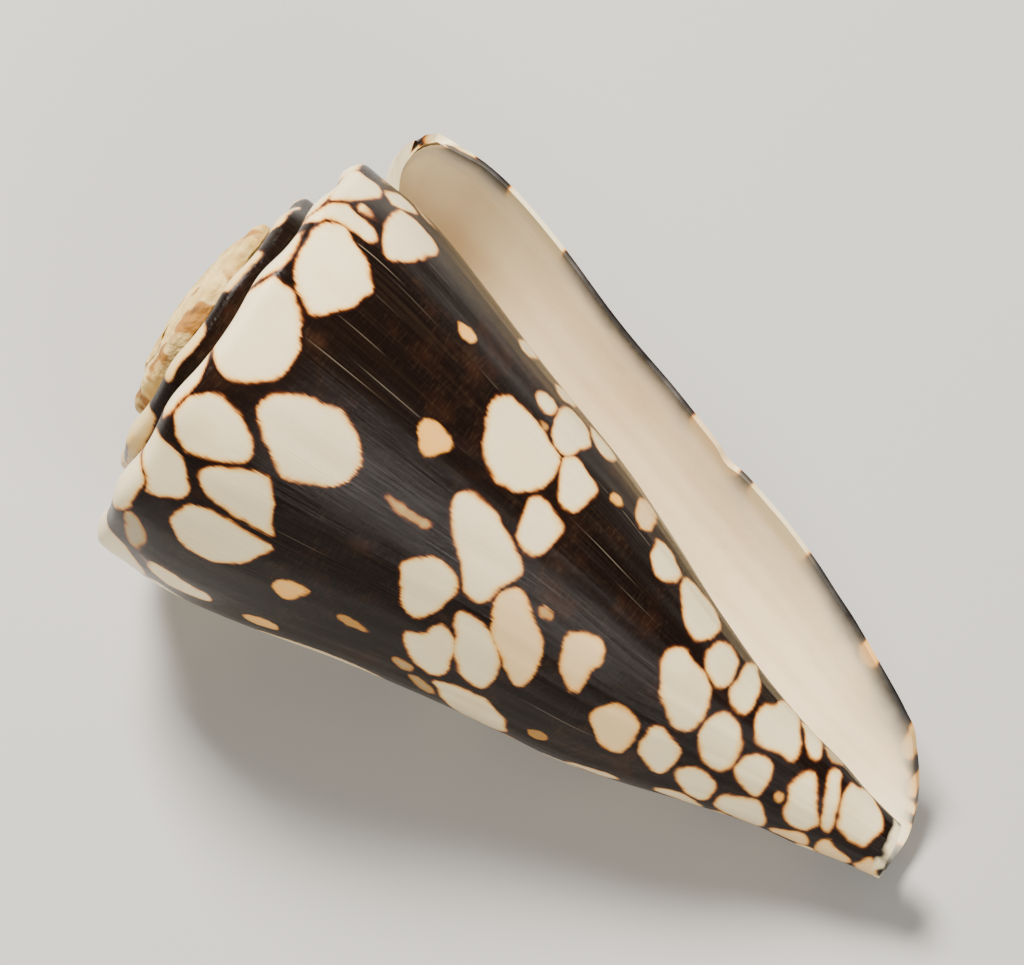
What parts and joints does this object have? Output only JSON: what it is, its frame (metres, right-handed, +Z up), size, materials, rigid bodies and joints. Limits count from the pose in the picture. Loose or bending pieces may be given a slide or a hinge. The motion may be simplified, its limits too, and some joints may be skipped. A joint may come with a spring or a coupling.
{
  "type": "banded marble cone shell",
  "caption": "Empty cone-shaped sea shell with a low knobbed spire and a long narrow aperture, resting on its back.",
  "frame": {"origin": "centre of the bounding box's underside, on the surface the shell rests on", "axes": "+X along the length from the spire to the anterior end, +Y towards the outer lip, +Z up, with the aperture open upwards"},
  "size_m": [0.0908, 0.0554, 0.0515],
  "materials": {
    "shell": "natural gloss"
  },
  "bodies": {
    "root": {"shell": "shell"}
  },
  "joints": []
}
